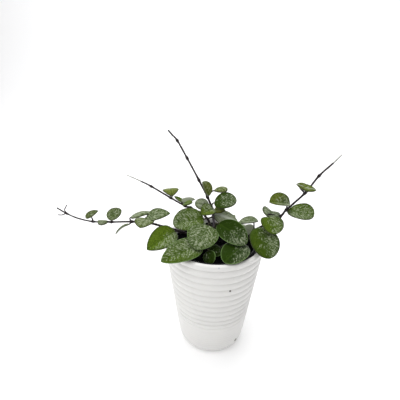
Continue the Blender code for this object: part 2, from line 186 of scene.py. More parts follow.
bpy.ops.mesh.primitive_plane_add(size=PAPER_SIZE, location=(0, 0, -BELOW_FOOT))
floor = bpy.context.object
floor.name = "floor"
bpy.ops.object.mode_set(mode="EDIT")
bpy.ops.mesh.select_all(action="DESELECT")
bpy.ops.object.mode_set(mode="OBJECT")
for edge in floor.data.edges:
    edge.select = all(floor.data.vertices[i].co.y > PAPER_SIZE / 2 - 0.1 for i in edge.vertices)
bpy.ops.object.mode_set(mode="EDIT")
bpy.ops.mesh.select_mode(type="EDGE")
bpy.ops.mesh.extrude_region_move(TRANSFORM_OT_translate={"value": (0, 0, PAPER_RISE)})
bpy.ops.object.mode_set(mode="OBJECT")
sweep = floor.modifiers.new("sweep", "BEVEL")
sweep.width = SWEEP_ROUND
sweep.segments = 12
bpy.ops.object.modifier_apply(modifier="sweep")
bpy.ops.object.shade_smooth()

paper, paper_shader = new_material("white_backdrop_paper")
feed(paper, paper_shader, {
    "Base Color": linear("#fbfbfb"),
    "Roughness": 0.9,
    "Emission Color": linear("#ffffff"),
    "Emission Strength": PAPER_GLOW,
})
floor.data.materials.append(paper)
print("paper:", len(floor.data.polygons), "faces")

# %% [markdown]
# The two pots and the soil are round. Each could be an outline turned by the Screw modifier, but a
# potter's way is easier to follow: a ring is laid down, then raised and widened again and again.
# The ring is a circle primitive, and each further ring is extruded from the last and scaled to its
# radius. The two open ends are then filled. Joining pieces in one is a step that returns too.

# %% Raising a wall ring by ring
SMOOTH_ANGLE = 35


def raise_wall(name, rings, sides):
    """A closed turned mesh from (radius, height) rings in millimetres, from its underside round."""
    bpy.ops.object.select_all(action="DESELECT")
    radius, height = rings[0]
    bpy.ops.mesh.primitive_circle_add(vertices=sides, radius=radius * MM, location=(0, 0, height * MM))
    piece = bpy.context.object
    piece.name = name
    bpy.ops.object.transform_apply(location=True, rotation=True, scale=True)
    bpy.ops.object.mode_set(mode="EDIT")
    bpy.ops.mesh.select_mode(type="VERT")
    bpy.ops.mesh.select_all(action="SELECT")
    bpy.ops.mesh.edge_face_add()
    for next_radius, next_height in rings[1:]:
        rise = (0.0, 0.0, (next_height - height) * MM)
        growth = next_radius / radius
        bpy.ops.mesh.extrude_edges_move(TRANSFORM_OT_translate={"value": rise})
        bpy.ops.transform.resize(value=(growth, growth, 1.0), center_override=(0.0, 0.0, next_height * MM))
        radius, height = next_radius, next_height
    bpy.ops.mesh.edge_face_add()
    bpy.ops.mesh.select_all(action="SELECT")
    bpy.ops.mesh.normals_make_consistent(inside=False)
    bpy.ops.object.mode_set(mode="OBJECT")
    bpy.ops.object.shade_smooth_by_angle(angle=math.radians(SMOOTH_ANGLE))
    return piece


def arc(centre, radius, start, end, steps):
    """Points along an arc; its angles are degrees above level."""
    across, up = centre
    angles = [math.radians(start + (end - start) * i / steps) for i in range(steps + 1)]
    return [(across + radius * math.cos(angle), up + radius * math.sin(angle)) for angle in angles]


def join(pieces):
    """The pieces joined in the first of them, whose place and name they take."""
    bpy.ops.object.select_all(action="DESELECT")
    for piece in pieces:
        piece.select_set(True)
    bpy.context.view_layer.objects.active = pieces[0]
    bpy.ops.object.join()
    return pieces[0]


print("a rounded edge in", len(arc((0, 0), 1, 0, 90, 6)), "points")

# %% [markdown]
# The cover pot is earthenware, cast in a mould. Its wall widens towards the rim and carries soft
# horizontal ribs between narrow grooves, which lie a little closer towards the foot and die away
# there. The rim is rounded, and the wall curves in under the lowest rib. The ribs could be a bump
# map, but they show in the outline, so they are in the mesh: a sine swells the radius between
# each two grooves.

# %% Ribs of the cover pot
POT_HEIGHT = 121.0
RIM_RADIUS = 50.0
FOOT_RADIUS = 33.7
FIRST_GROOVE = 6.5
RIB_PITCH = 7.9
UPPER_RIBS = 10
UPPER_SHRINK = 0.2
LOWER_SHRINK = 0.7
RIB_DEPTH = 1.1
RIB_ROUNDNESS = 0.85
RIB_RINGS = 8
PLAIN_UNDER = 32.0
RIB_FADE = 14.0


def outer_radius(height):
    """Radius of the pot's wall, ribs left out."""
    return FOOT_RADIUS + (RIM_RADIUS - FOOT_RADIUS) * height / POT_HEIGHT


def groove_heights():
    """Heights of the grooves from the top one down; each lies closer to the one before."""
    heights = [POT_HEIGHT - FIRST_GROOVE]
    pitch = RIB_PITCH
    while heights[-1] - pitch > PLAIN_UNDER:
        heights.append(heights[-1] - pitch)
        pitch -= UPPER_SHRINK if len(heights) < UPPER_RIBS else LOWER_SHRINK
    return heights


def rib_depth(height):
    """The ribs die away towards the foot."""
    return RIB_DEPTH * min(1.0, max(0.0, (height - PLAIN_UNDER) / RIB_FADE))


grooves = groove_heights()
rib_rings = []
for low, high in reversed(list(zip(grooves[1:], grooves))):
    for step in range(RIB_RINGS):
        share = step / RIB_RINGS
        height = low + (high - low) * share
        swell = math.sin(math.pi * share) ** RIB_ROUNDNESS
        rib_rings.append((outer_radius(height) - rib_depth(height) * (1 - swell), height))
print("grooves:", len(grooves), "from", grooves[0], "mm down to", round(grooves[-1], 1), "mm")

# %% [markdown]
# A cast pot is one skin that turns over at the rim, so its rings run up the outside, over the
# rounded rim and down the inside in one go. The inside is plain, because only its top shows.

# %% Cover pot
WALL = 4.6
POT_FLOOR = 6.0
RIM_ROUND = 2.2
FOOT_ROUND = 12.7
FOOT_IN = 11.4
TOP_GROOVE_RISE = 0.9
TOP_BAND = 2.0
POT_SIDES = 128

rim_height = POT_HEIGHT - RIM_ROUND
inner_rim = outer_radius(rim_height) - WALL + RIM_ROUND
top = grooves[0]
pot_rings = arc((FOOT_RADIUS - FOOT_IN, FOOT_ROUND), FOOT_ROUND, -85, 0, 10)
pot_rings += [(outer_radius(height), height) for height in (20.0, 26.0, 31.0)]
pot_rings += rib_rings
pot_rings.append((outer_radius(top) - RIB_DEPTH, top))
pot_rings.append((outer_radius(top + TOP_GROOVE_RISE) - RIB_DEPTH / 4, top + TOP_GROOVE_RISE))
pot_rings.append((outer_radius(top + TOP_BAND), top + TOP_BAND))
pot_rings += arc((RIM_RADIUS - RIM_ROUND, rim_height), RIM_ROUND, 0, 90, 6)
pot_rings += arc((inner_rim, rim_height), RIM_ROUND, 100, 180, 6)
pot_rings += [(outer_radius(height) - WALL, height) for height in (110.0, 90.0, 60.0, 30.0, 12.0, 7.5)]
pot_rings.append((outer_radius(POT_FLOOR) - WALL - POT_FLOOR / 2, POT_FLOOR))
cover_pot = raise_wall("ribbed_cover_pot", pot_rings, POT_SIDES)
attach(cover_pot, "root")
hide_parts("cover_pot")
print("cover pot:", len(cover_pot.data.polygons), "faces")

# %% [markdown]
# The pot has a white satin glaze over pale clay. The glaze clouds a little, so that the white is
# never quite even, and it is smooth with a soft sheen. Fine pale-brown specks lie all over it, one
# dark iron speck shows on the front, a grey scuff near the foot and a bluish mark on the rim. An
# image could carry them, but masks worked out from the distance to a spot stay sharp at any size.
# Fine turning rings and the skin's orange peel are too shallow for the mesh, so they are bumps.

# %% Glazed ceramic
CLOUDS_PER_MM = 0.045
SPECKS_PER_MM = 0.095
PEEL_PER_MM = 0.4
TURNING_SCALE = 100.0  # lays the turning rings 3.1 mm apart
RINGS_BELOW = 24.0
NO_RINGS_ABOVE = 36.0


def speck_mask(spot, radius, softness):
    """1 inside a small ball round a spot, fading to 0 outside it, all in millimetres."""
    centre = tuple(part * MM for part in spot)
    away = add_node(glaze, "VectorMath", {0: place, 1: centre}, "Value", operation="DISTANCE")
    return add_node(glaze, "MapRange", {
        "Value": away, "From Min": radius * MM, "From Max": (radius + softness) * MM,
        "To Min": 1.0, "To Max": 0.0}, interpolation_type="SMOOTHSTEP")


glaze, glaze_shader = new_material("white_satin_glaze")
place = add_node(glaze, "TexCoord", None, "Object")
cloud = add_node(glaze, "TexNoise", {"Vector": place, "Scale": CLOUDS_PER_MM / MM, "Detail": 3.0})
from_speck = add_node(glaze, "TexVoronoi", {"Vector": place, "Scale": SPECKS_PER_MM / MM}, "Distance")
fine_specks = add_node(glaze, "MapRange", {
    "Value": from_speck, "From Min": 0.03, "From Max": 0.06, "To Min": 0.35, "To Max": 0.0})
colour = linear("#dedddb")
for layer, tint in (
        (cloud, "#e5e4e0"),
        (fine_specks, "#b9b5ab"),
        (speck_mask((16.5, -42.5, 90.5), 0.7, 0.6), "#5b5550"),
        (speck_mask((26.8, -22.5, 11.5), 1.2, 1.2), "#6f6a63"),
        (speck_mask((5.0, -49.2, 119.5), 0.5, 0.6), "#c3c7cc")):
    inputs = {MASK: layer, UNDER: colour, OVER: linear(tint)}
    colour = add_node(glaze, "Mix", inputs, MIXED, data_type="RGBA")

turning = add_node(
    glaze, "TexWave", {"Vector": place, "Scale": TURNING_SCALE}, "Fac",
    wave_type="BANDS", bands_direction="Z")
level = add_node(glaze, "SeparateXYZ", {"Vector": place}, "Z")
low_wall = add_node(glaze, "MapRange", {
    "Value": level, "From Min": RINGS_BELOW * MM, "From Max": NO_RINGS_ABOVE * MM,
    "To Min": 1.0, "To Max": 0.0})
rings = add_node(glaze, "Math", {0: turning, 1: low_wall}, operation="MULTIPLY")
ringed = add_node(glaze, "Bump", {"Height": rings, "Strength": 0.8, "Distance": 0.3 * MM})
orange_peel = add_node(glaze, "TexNoise", {"Vector": place, "Scale": PEEL_PER_MM / MM, "Detail": 2.0})
skin = add_node(glaze, "Bump", {
    "Height": orange_peel, "Strength": 0.06, "Distance": 0.3 * MM, "Normal": ringed})
feed(glaze, glaze_shader, {"Base Color": colour, "Roughness": 0.3, "Normal": skin})
cover_pot.data.materials.append(glaze)
print("glaze nodes:", len(glaze.node_tree.nodes))

# %% [markdown]
# Inside stands the nursery pot that the plant was sold in: thin black plastic, injection moulded,
# with a band under its lip and six drain holes. Only parts of its lip show, so its wall is a bare
# skin of rings. The holes could be modelled into the bottom's faces, but one Boolean, from six
# cylinders joined in one object, cuts them all.

# %% Nursery pot
LIP_TOP = 118.0
LIP_RADIUS = 41.0
LIP_BAND = 8.0
LIP_STEP = 1.4
NURSERY_BOTTOM = 38.0
NURSERY_WALL = 1.0
FIT = 0.3
DRAINS = 6
DRAIN_RADIUS = 3.5
DRAIN_RING = 22.0

foot = outer_radius(NURSERY_BOTTOM) - WALL - FIT
band_foot = LIP_TOP - LIP_BAND
neck = LIP_RADIUS - LIP_STEP
lip_middle = (LIP_RADIUS - NURSERY_WALL / 2, LIP_TOP - NURSERY_WALL / 2)
nursery_rings = [
    (foot - 1.0, NURSERY_BOTTOM),
    (foot, NURSERY_BOTTOM + 1.0),
    (neck, band_foot - 1.0),
    (LIP_RADIUS - 0.4, band_foot - 0.3),
    (LIP_RADIUS, band_foot + 0.3),
    *arc(lip_middle, NURSERY_WALL / 2, 0, 180, 6),
    (LIP_RADIUS - NURSERY_WALL, band_foot + 1.0),
    (neck - NURSERY_WALL, band_foot),
    (foot - NURSERY_WALL, NURSERY_BOTTOM + NURSERY_WALL),
]
nursery_pot = raise_wall("black_nursery_pot", nursery_rings, 96)

drains = []
for i in range(DRAINS):
    angle = 2 * math.pi * i / DRAINS
    spot = (DRAIN_RING * math.cos(angle) * MM, DRAIN_RING * math.sin(angle) * MM, NURSERY_BOTTOM * MM)
    bpy.ops.mesh.primitive_cylinder_add(vertices=24, radius=DRAIN_RADIUS * MM, depth=4 * MM, location=spot)
    drains.append(bpy.context.object)
drain_cutter = join(drains)
bpy.ops.object.select_all(action="DESELECT")
nursery_pot.select_set(True)
bpy.context.view_layer.objects.active = nursery_pot
cut = nursery_pot.modifiers.new("drain_holes", "BOOLEAN")
cut.object = drain_cutter
cut.operation = "DIFFERENCE"
bpy.ops.object.modifier_apply(modifier="drain_holes")
bpy.data.objects.remove(drain_cutter, do_unlink=True)
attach(nursery_pot, "root")
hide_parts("nursery_pot")
print("nursery pot:", len(nursery_pot.data.polygons), "faces")

# %% [markdown]
# Black polypropylene, injection moulded. The mould's faint grain breaks up a dull sheen. One noise
# does for its colour and for its bump, so that the grain's low spots are also its darkest.

# %% Moulded plastic
GRAINS_PER_MM = 0.9

plastic, plastic_shader = new_material("black_moulded_polypropylene")
place = add_node(plastic, "TexCoord", None, "Object")
grain = add_node(plastic, "TexNoise", {"Vector": place, "Scale": GRAINS_PER_MM / MM, "Detail": 2.0})
black = {MASK: grain, UNDER: linear("#08090c"), OVER: linear("#111216")}
grained = add_node(plastic, "Bump", {"Height": grain, "Strength": 0.25, "Distance": 0.1 * MM})
feed(plastic, plastic_shader, {
    "Base Color": add_node(plastic, "Mix", black, MIXED, data_type="RGBA"),
    "Roughness": 0.42,
    "Normal": grained,
})
nursery_pot.data.materials.append(plastic)
print("plastic nodes:", len(plastic.node_tree.nodes))

# %% [markdown]
# The soil fills the nursery pot and rises a little in the middle. Its body is turned like the pots,
# with close rings across the top. Sculpting could roughen it, but noise can be repeated exactly:
# the points of the top are moved by two sizes of noise, for lumps and for pebbles.

# %% Soil body
SOIL_TOP = 114.0
SOIL_DOME = 1.5
SOIL_SINK = 0.5
LUMPS_PER_MM = 0.16
LUMP_RISE = 1.3
PEBBLES_PER_MM = 0.55
PEBBLE_RISE = 0.8
TOP_RINGS = 36

soil_edge = LIP_RADIUS - NURSERY_WALL - FIT
soil_foot = foot - NURSERY_WALL - FIT
soil_bottom = NURSERY_BOTTOM + NURSERY_WALL + FIT


def soil_height(x, y):
    """Height of the soil's top, in millimetres; its edge stays level."""
    out = min(1.0, math.hypot(x, y) / soil_edge)
    lump = noise.noise(Vector((x, y, 3.0)) * LUMPS_PER_MM) * LUMP_RISE
    pebble = noise.noise(Vector((x, y, 8.0)) * PEBBLES_PER_MM) * PEBBLE_RISE
    return SOIL_TOP + SOIL_DOME * (1 - out ** 2) + (lump + pebble) * (1 - out ** 8) - SOIL_SINK


soil_rings = [
    (soil_foot, soil_bottom),
    (neck - NURSERY_WALL - FIT, band_foot),
    (soil_edge, band_foot + 1.3),
    (soil_edge, SOIL_TOP - SOIL_SINK),
]
soil_rings += [(soil_edge * (1 - i / TOP_RINGS), SOIL_TOP) for i in range(1, TOP_RINGS)]
soil_body = raise_wall("peat_body", soil_rings, 144)
for vertex in soil_body.data.vertices:
    if vertex.co.z > (SOIL_TOP - 0.1) * MM:
        vertex.co.z = soil_height(vertex.co.x / MM, vertex.co.y / MM) * MM
print("soil body:", len(soil_body.data.polygons), "faces")

# %% [markdown]
# Loose crumbs of peat and bark lie on the soil. A particle system could strew them, but the export
# drops particles. So one rough lump of few faces is modelled, then copied, turned and pressed
# halfway into the surface, and all are joined with the soil's body.

# %% Crumbs of peat and bark
CRUMBS = 700
CRUMB_SIZES = (0.5, 0.6, 0.8, 1.0, 1.3, 1.9)
CRUMB_MARGIN = 1.5
ANY_TURN = 6.28
ANY_TILT = 0.8

random.seed(7)
bpy.ops.object.select_all(action="DESELECT")
bpy.ops.mesh.primitive_ico_sphere_add(subdivisions=2, radius=1.0)
crumb_model = bpy.context.object
bpy.ops.object.mode_set(mode="EDIT")
bpy.ops.transform.resize(value=(1.0, 0.75, 0.55))
bpy.ops.transform.vertex_random(offset=0.22, seed=3)
bpy.ops.object.mode_set(mode="OBJECT")

pieces = [soil_body]
for i in range(CRUMBS):
    out = (soil_edge - CRUMB_MARGIN) * math.sqrt(random.random())
    angle = random.uniform(0, 2 * math.pi)
    x, y = out * math.cos(angle), out * math.sin(angle)
    size = random.choice(CRUMB_SIZES)
    crumb = bpy.data.objects.new("crumb", crumb_model.data.copy())
    bpy.context.scene.collection.objects.link(crumb)
    turned = Matrix.Rotation(random.uniform(0, ANY_TURN), 4, "Z")
    tilted = Matrix.Rotation(random.uniform(-ANY_TILT, ANY_TILT), 4, "X")
    spot = Matrix.Translation(Vector((x, y, soil_height(x, y) + size * 0.1)) * MM)
    crumb.data.transform(spot @ (turned @ tilted) @ Matrix.Scale(size * MM, 4))
    pieces.append(crumb)
bpy.data.objects.remove(crumb_model, do_unlink=True)
soil = join(pieces)
soil.name = "potting_soil"
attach(soil, "root")
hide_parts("soil")
print("soil:", len(soil.data.polygons), "faces with", CRUMBS, "crumbs")

# %% [markdown]
# Moist peat is nearly black, with fibres a few millimetres long and a few lighter bits of bark. It
# scatters light weakly, so it is very rough and has little sheen. An even black would look like a
# hole, so one noise gives the fibres their tone and relief, and the random colour of Voronoi cells
# picks out the bits.

# %% Peat
FIBRES_PER_MM = 0.26
BITS_PER_MM = 0.33

peat, peat_shader = new_material("moist_dark_peat")
place = add_node(peat, "TexCoord", None, "Object")
fibres = add_node(peat, "TexNoise", {
    "Vector": place, "Scale": FIBRES_PER_MM / MM, "Detail": 5.0, "Roughness": 0.65})
tone = add_node(peat, "MapRange", {"Value": fibres, "From Min": 0.35, "From Max": 0.7})
bits = add_node(peat, "TexVoronoi", {"Vector": place, "Scale": BITS_PER_MM / MM}, "Color")
light_bits = add_node(peat, "MapRange", {
    "Value": bits, "From Min": 0.95, "From Max": 0.98, "To Min": 0.0, "To Max": 0.4})
colour = linear("#040609")
for layer, tint in ((tone, "#111012"), (light_bits, "#383029")):
    inputs = {MASK: layer, UNDER: colour, OVER: linear(tint)}
    colour = add_node(peat, "Mix", inputs, MIXED, data_type="RGBA")
rough = add_node(peat, "Bump", {"Height": fibres, "Strength": 0.8, "Distance": 0.6 * MM})
feed(peat, peat_shader, {
    "Base Color": colour, "Roughness": 0.93, "Specular IOR Level": 0.06, "Normal": rough})
soil.data.materials.append(peat)
print("peat nodes:", len(peat.node_tree.nodes))

# %% [markdown]
# The plant has nine shoots with 39 leaves. Each leaf hangs in its own way, so chance couldn't place
# them. They are listed instead, each shoot by the route of its stem and by its leaves, in the
# millimetres of the solids. The next cell says what each value means.

# %% What a leaf and a shoot are
@dataclass
class Leaf:
    """A leaf; its sizes are in millimetres and its other values are shares."""
    node: int  # number of the route point that it grows from
    base: tuple  # where its blade begins
    tip: tuple  # where its blade ends
    width: float
    face: tuple  # roughly where its upper side looks
    bow: float = 0.5  # lifts its middle
    fold: float = 0.5  # lifts its two edges
    silver: float = 0.6  # how much of it the flecks cover
    to_tip: float = 0.0  # how that share grows towards the tip
    to_side: float = 0.0  # and towards one edge
    young: float = 0.4  # 0 on an old dark leaf, 1 on a fresh yellow one
    point: float = 0.3  # sharpens its tip; below 0 its base is the sharper end
    crease: float = 0.4  # 0 folds it in a round gutter, 1 in a straight crease
    heart: float = 0.0  # draws its base back beside the stalk, as on a heart
    tuck: float = 0.0  # how far along the blade its stalk meets it
    # A pale streak along the midrib: where it is broad, painted sheen; where narrow, a pale midrib.
    midline_and_sheen: float = 0.0  # half-width of a pale streak along its midrib


@dataclass
class Shoot:
    """A stem with its leaves."""
    name: str
    route: tuple  # points along the stem
    leaves: tuple
    thick: float = 1.2  # its radius at the foot
    thin: float = 0.9  # its radius at the end
    knots: tuple = (2,)  # numbers of the route points where it swells
    thread: int = 0  # how many of its last stretches are a pale thread
    twigs: tuple = ()  # routes of thin bare twigs


print("values of a leaf:", len(Leaf.__dataclass_fields__))

# %% [markdown]
# Four long vines grow out of the pot: one trails to the left, one points up and to the left behind
# it, one stands in the middle and one leans to the right. Their leaves sit at the knots, mostly in
# pairs, and in the photograph they cover each other in the order that their depths give.

# %% The long vines
LONG_VINES = (
    Shoot(
        name="vine_left",
        route=((-18, 3, 102), (-18, 3, 118), (-33, 1, 125.5), (-50, 0, 131), (-66, 2, 133.5),
               (-84, 4, 133), (-106, 7, 130), (-126, 9, 128.5), (-142, 10, 131), (-154, 11, 135.5),
               (-164, 12, 141)),
        thick=1.5, thin=0.7, knots=(2, 4, 5, 6, 7, 9),
        leaves=(
            Leaf(2, (-38, -8, 130.5), (-62, -28, 121), 23, (0.1, -0.6, 0.8), bow=2, fold=3.5,
                 silver=0.3, to_tip=-0.3, to_side=-0.5, young=0.5, point=0.7, crease=0.8),
            Leaf(4, (-68, 1, 140), (-44, 0, 146), 18.5, (0, -0.3, 1), bow=1, fold=1, silver=0.8,
                 young=0.32, point=1),
            Leaf(4, (-67, -1, 139.5), (-69.5, -19, 138.5), 19.5, (0, -0.25, 1), bow=1, fold=1,
                 silver=0.75, young=0.75, point=0.8),
            Leaf(5, (-84, 2, 138.5), (-63, 8, 142), 15, (0, 0.1, 1), bow=2.5, fold=-1, silver=1.1,
                 young=0.65, point=0.6),
            Leaf(5, (-86, 2, 131), (-99, -4, 122), 11, (-0.6, 0.1, 0.78), bow=2, young=0.6, point=0.5),
            Leaf(6, (-110, 7, 135), (-94.5, 7, 144), 12, (-0.3, -1, 0.4), silver=0.9, young=0.7,
                 point=0.2, tuck=0.3),
            Leaf(6, (-108, 5, 131.5), (-119, 3, 132), 7, (0, -0.5, 1), bow=0, fold=-2, silver=1.3,
                 young=0.9, point=-0.9, crease=1),
            Leaf(7, (-133, 8, 133.5), (-119, 8, 141.5), 7.5, (-0.5, -0.7, 0.6), silver=0.9, young=1,
                 point=0.6, tuck=0.35),
        ),
        twigs=(
            ((-154, 11, 135.5), (-155.5, 11, 139.5), (-152.5, 11, 145)),
            ((-154, 11, 135.5), (-158.5, 10, 134), (-162.5, 9, 134.5)),
        ),
    ),
    Shoot(
        name="vine_diagonal",
        route=((-4, 7, 102), (-4, 7, 120), (-5, 7, 133), (-12, 11, 141), (-26, 20, 144), (-32, 23, 144.5),
               (-48, 30, 150), (-70, 38, 159), (-81, 41, 163), (-98, 46, 168)),
        thick=1.3, thin=0.85, knots=(4, 5, 6, 7), thread=1,
        leaves=(
            Leaf(6, (-46, 28, 152.5), (-50.5, 42, 155.5), 17.5, (0, -0.1, 1), bow=2.5, fold=0,
                 silver=0.1, young=0.9, point=-1),
            Leaf(5, (-33, 21, 147.5), (-24, 16, 151), 11, (0.1, -0.3, 0.95), silver=0, young=0.5),
            Leaf(5, (-31, 23, 148.5), (-44, 30, 152), 6, (0.2, -0.3, 0.9), bow=-1, silver=0, young=0.6,
                 point=0.6),
            Leaf(5, (-36, 26, 149.7), (-21.5, 26, 151), 10, (0, 0.12, -1), bow=-1, fold=1, silver=0.7,
                 young=0.35, point=1),
        ),
    ),
    Shoot(
        name="vine_top",
        route=((0, 3, 102), (0, 3, 122), (-1, 4, 134), (-2, 5, 142), (-3.5, 7, 150), (-8.5, 11, 160.5),
               (-17.8, 20, 174.5), (-30.5, 29, 194), (-41, 35, 210), (-46.5, 38, 215), (-51, 41, 219)),
        thick=1.35, thin=0.85, knots=(3, 4, 5, 6, 7, 8),
        leaves=(
            Leaf(3, (-11, -3, 143), (-40, -10, 140), 24.5, (0, -0.6, 0.8), bow=1, fold=4, silver=0.57,
                 to_tip=0.25, to_side=0.08, young=0.36, point=0.1, crease=1),
            # The next leaf's high silver and broad pale streak along its midrib are partly painted sheen.
            Leaf(3, (-1, 6, 145), (22.5, 2, 137), 17, (0.2, -0.5, 0.8), bow=2, fold=-1.5, silver=1.3,
                 to_side=0.1, young=0.6, point=0.4, midline_and_sheen=3),
            Leaf(4, (-2, 5, 150), (-13.5, -4, 148), 15, (-0.1, -0.6, 0.8), bow=1, fold=4, silver=0.45,
                 to_tip=-0.3, to_side=0.4, young=0.65, crease=1),
            Leaf(4, (-1.5, 4, 149.5), (9.5, 1.5, 151), 9.5, (0, -0.4, 0.9), silver=0.3, young=1,
                 point=0.8),
            Leaf(4, (-7, 7, 153.5), (-20.5, 5, 156), 11.5, (0, -0.9, 0.5), silver=1.3, young=0.9,
                 point=0.1),
            Leaf(4, (-1.5, 4, 157.5), (19.5, 0, 162.5), 19, (0, -0.55, 0.85), bow=1, fold=1.5,
                 silver=0.5, to_tip=0.3, young=0.08, point=0.1),
            Leaf(5, (-8, 11, 161), (-14, 13, 175.5), 13.5, (0.8, -0.5, 0.5), bow=0, fold=4, silver=0.4,
                 young=1, point=-0.2, crease=1),
            Leaf(5, (-2.5, 14, 166), (11, 13, 168.5), 11, (0, -0.2, 1), bow=2, fold=-1.5, silver=0.65,
                 young=1, point=-0.6),
        ),
    ),
    Shoot(
        name="vine_right",
        route=((31, 3, 102), (31, 3, 117), (35, 3, 124), (39, 3, 130), (47, 4, 135), (63, 6, 145),
               (69, 8, 152), (85.5, 13, 168), (98, 19, 184), (111.5, 26, 195), (119.5, 29, 203)),
        thick=1.5, knots=(3, 5, 6, 7, 8), thread=1,
        leaves=(
            Leaf(3, (40.5, -7, 138.5), (50.5, -32.5, 121), 28, (0.1, -0.4, 0.9), bow=2, fold=2,
                 silver=0.42, to_tip=0.05, to_side=-0.45, young=0.2, point=0, tuck=0.2),
            Leaf(3, (42, 3, 140.5), (23, 0, 138.5), 13, (0.05, -0.05, 1), fold=2.5, silver=1.1,
                 young=0.35, point=0.4, crease=1, tuck=0.22),
            Leaf(3, (38.5, 9, 124.5), (29.5, 13, 128), 14, (-0.3, 0.6, -0.7), bow=-0.5, fold=-0.5,
                 silver=1.2, young=0.9),
            Leaf(5, (50.5, -1, 147.5), (55.5, -18, 138), 22, (0.1, -0.4, 0.9), bow=1, fold=2.5,
                 silver=0.42, to_side=-0.35, young=0.42, point=0, heart=3),
            Leaf(5, (55.5, 13, 147.5), (51, -2, 147), 18.5, (0.25, -0.2, 0.9), bow=0, fold=1.5,
                 silver=0.8, young=0.25, point=0.2, crease=0.8, heart=10),
            Leaf(6, (71.5, 8, 157.5), (51, 5, 160), 16.5, (0, -0.45, 0.9), fold=6, silver=0.65,
                 to_tip=-0.75, to_side=-0.3, young=0.8, point=-0.4, crease=1, heart=5),
            Leaf(6, (69, 5, 151.5), (91.5, -6, 153), 21, (0, -0.45, 0.9), bow=1, fold=3, to_tip=0.1,
                 to_side=0.2, point=-0.6),
            Leaf(7, (87, 8, 174.5), (74.5, 7, 178.5), 10.5, (0, -0.4, 0.95), bow=0, silver=0.35,
                 young=0.9, point=0.9, midline_and_sheen=0.5),
            Leaf(7, (80, 7, 176), (93.5, 6, 174), 10.5, (0.1, -0.4, 0.95), bow=0, silver=0.35,
                 young=0.8, point=0.9, midline_and_sheen=0.5),
        ),
    ),
)
print("long vines:", len(LONG_VINES), "with", sum(len(shoot.leaves) for shoot in LONG_VINES), "leaves")

# %% [markdown]
# Five short stems fill the pot's mouth: one in front with two large leaves, two low ones at the
# front rim and two at the back rim, which the photograph hides. Each carries two leaves.

# %% The short stems
SHORT_STEMS = (
    Shoot(
        name="stem_front",
        route=((1, -5, 102), (1, -5, 120), (0, -6, 131), (-1, -7, 137)),
        thick=1.4,
        leaves=(
            Leaf(2, (-6.5, -14, 142), (-16, -37, 129.5), 29, (0, -0.5, 0.85), bow=2, fold=1,
                 silver=0.68, to_tip=0.12, young=0.24, point=0.4),
            Leaf(2, (3, -9, 141.5), (29.5, -25, 131), 23.5, (0, -0.55, 0.83), bow=2, fold=2,
                 silver=0.34, to_tip=0.5, to_side=0.15, young=0, point=0.2),
        ),
    ),
    Shoot(
        name="stem_low_left",
        route=((-9, -15, 102), (-9, -15, 117), (-9, -19, 123), (-8, -23, 126)),
        leaves=(
            Leaf(2, (-12, -26, 127.5), (-45, -50, 123.5), 23, (0, -0.5, 0.85), bow=2, fold=2.5,
                 silver=0.55, to_tip=-0.2, to_side=0.15, young=0.36, point=0.6, crease=0.8),
            Leaf(3, (-5, -30, 124.5), (-1.5, -38, 116), 14, (-0.5, -0.6, 0.4), silver=0.28,
                 to_side=0.3, young=0),
        ),
    ),
    Shoot(
        name="stem_low_right",
        route=((18, -8, 102), (18, -8, 117), (20, -11, 122), (21, -13, 125)),
        leaves=(
            Leaf(3, (28.5, -19, 127), (9.5, -45.5, 123), 23.5, (0, -0.4, 0.9), bow=2, silver=0.25,
                 to_tip=-0.15, to_side=-0.5, young=0, point=0.1),
            Leaf(2, (6, -20, 122.5), (-3, -30, 119.5), 12.5, (0.1, -0.5, 0.85), bow=1, silver=0.3,
                 young=0),
        ),
    ),
    Shoot(
        name="stem_back_left",
        route=((-13, 18, 102), (-13, 18, 117), (-15, 22, 124), (-16, 24, 128)),
        leaves=(
            Leaf(2, (-20, 29, 129), (-31, 57, 119), 24, (-0.1, 0.4, 0.9), bow=3, fold=2, to_side=0.2),
            Leaf(3, (-13, 17, 131), (-24, 6, 130), 20, (0, 0, 1), bow=1, fold=1.5),
        ),
    ),
    Shoot(
        name="stem_back_right",
        route=((13, 19, 102), (13, 19, 117), (14, 22, 124), (14, 24, 128)),
        leaves=(
            Leaf(2, (16, 29, 127), (13, 56, 118.5), 14, (0.1, 0.4, 0.9), bow=3.5, fold=1),
            Leaf(3, (19, 21, 126), (32, 28, 122), 16, (0.2, 0.2, 0.95), bow=1, fold=1),
        ),
    ),
)
SHOOTS = LONG_VINES + SHORT_STEMS
print("leaves in all:", sum(len(shoot.leaves) for shoot in SHOOTS))

# %% [markdown]
# A hoya leaf is a thick, stiff blade. Each could be modelled from its own plane, but all share one
# build, so one model blade is made, flat and square: a grid primitive given a thickness. Each leaf
# is a copy of it with its own mesh, whose points are moved to the leaf's own outline.

# %% The model blade
ROWS = 30
COLUMNS = 20
SLAB = 0.2

bpy.ops.object.select_all(action="DESELECT")
bpy.ops.mesh.primitive_grid_add(x_subdivisions=ROWS, y_subdivisions=COLUMNS, size=2.0)
blade_model = bpy.context.object
blade_model.name = "blade_model"
slab = blade_model.modifiers.new("slab", "SOLIDIFY")
slab.thickness = SLAB
slab.offset = 0.0
bpy.ops.object.modifier_apply(modifier="slab")
bpy.ops.object.shade_smooth()
print("model blade:", len(blade_model.data.polygons), "faces")

# %% [markdown]
# The real blade is rounded with a short point, cushioned on both sides of its midrib and thin at
# its edge. Its outline is a formula rather than a drawn curve, so that one value makes it blunter
# or sharper. way runs from 0 at its base to 1 at its tip, and across from -1 to 1 between its edges.

# %% Outline and thickness of a blade
CUSHION = 1.7
EDGE = 0.3
END_ROUNDING = 1.6
UNDER_FLATNESS = 0.8
MIDRIB_DEPTH = 0.35
MIDRIB_WIDTH = 0.8


